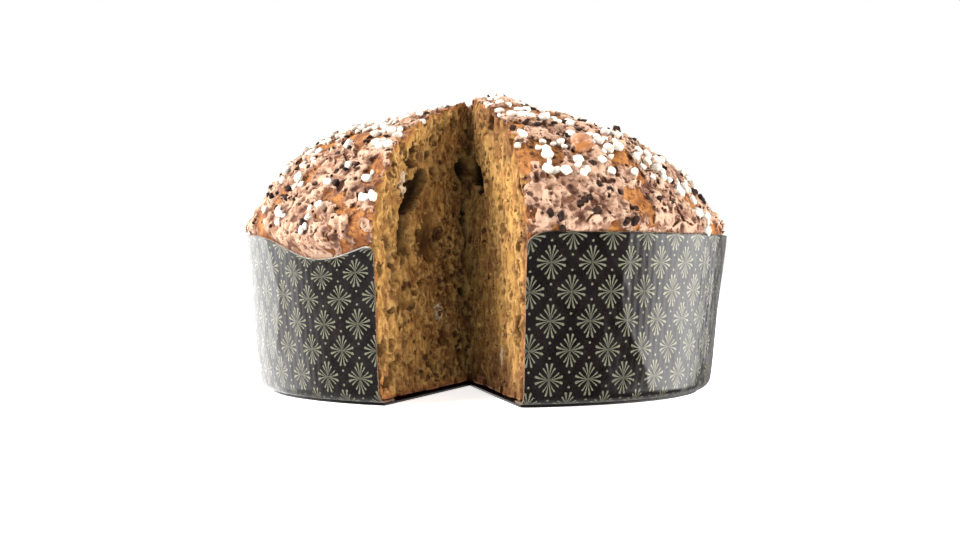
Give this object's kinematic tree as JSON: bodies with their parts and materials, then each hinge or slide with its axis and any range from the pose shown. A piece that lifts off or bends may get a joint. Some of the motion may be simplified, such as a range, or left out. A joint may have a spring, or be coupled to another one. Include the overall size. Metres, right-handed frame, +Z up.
{
  "type": "veneziana cake",
  "caption": "Low domed sweet cake in its patterned paper mould, one slice cut out, with sugar grains, cocoa nibs and almonds on a cracked glaze.",
  "frame": {"origin": "on the table, on the axis of the round paper mould", "axes": "+Z up out of the table; the slice was cut out towards -Y, a little to the -X side; +X to the right of someone looking at the cut"},
  "size_m": [0.21, 0.2088, 0.1306],
  "materials": {
    "baked_dough": null,
    "mould_paper": null,
    "base_paper": "plain brown greaseproof paper disc",
    "sugar_grain": "matt white pearl sugar",
    "cocoa_nib": "dark brown, slightly glossy chips",
    "almond": "toasted skin, satin"
  },
  "bodies": {
    "root": {"almond_01": "almond", "almond_02": "almond", "almond_03": "almond", "almond_04": "almond", "almond_05": "almond", "cake": "baked_dough", "cocoa_nib_01": "cocoa_nib", "cocoa_nib_02": "cocoa_nib", "cocoa_nib_03": "cocoa_nib", "cocoa_nib_04": "cocoa_nib", "cocoa_nib_05": "cocoa_nib", "cocoa_nib_06": "cocoa_nib", "cocoa_nib_07": "cocoa_nib", "cocoa_nib_08": "cocoa_nib", "cocoa_nib_09": "cocoa_nib", "cocoa_nib_10": "cocoa_nib", "cocoa_nib_11": "cocoa_nib", "cocoa_nib_12": "cocoa_nib", "cocoa_nib_13": "cocoa_nib", "cocoa_nib_14": "cocoa_nib", "cocoa_nib_15": "cocoa_nib", "mould_base": "base_paper", "mould_wall": "mould_paper", "sugar_grain_01": "sugar_grain", "sugar_grain_02": "sugar_grain", "sugar_grain_03": "sugar_grain", "sugar_grain_04": "sugar_grain", "sugar_grain_05": "sugar_grain", "sugar_grain_06": "sugar_grain", "sugar_grain_07": "sugar_grain", "sugar_grain_08": "sugar_grain", "sugar_grain_09": "sugar_grain", "sugar_grain_10": "sugar_grain", "sugar_grain_11": "sugar_grain", "sugar_grain_12": "sugar_grain", "sugar_grain_13": "sugar_grain", "sugar_grain_14": "sugar_grain", "sugar_grain_15": "sugar_grain", "sugar_grain_16": "sugar_grain", "sugar_grain_17": "sugar_grain", "sugar_grain_18": "sugar_grain", "sugar_grain_19": "sugar_grain", "sugar_grain_20": "sugar_grain", "sugar_grain_21": "sugar_grain", "sugar_grain_22": "sugar_grain", "sugar_grain_23": "sugar_grain", "sugar_grain_24": "sugar_grain", "sugar_grain_25": "sugar_grain", "sugar_grain_26": "sugar_grain", "sugar_grain_27": "sugar_grain", "sugar_grain_28": "sugar_grain", "sugar_grain_29": "sugar_grain", "sugar_grain_30": "sugar_grain", "sugar_grain_31": "sugar_grain", "sugar_grain_32": "sugar_grain", "sugar_grain_33": "sugar_grain", "sugar_grain_34": "sugar_grain"}
  },
  "joints": []
}
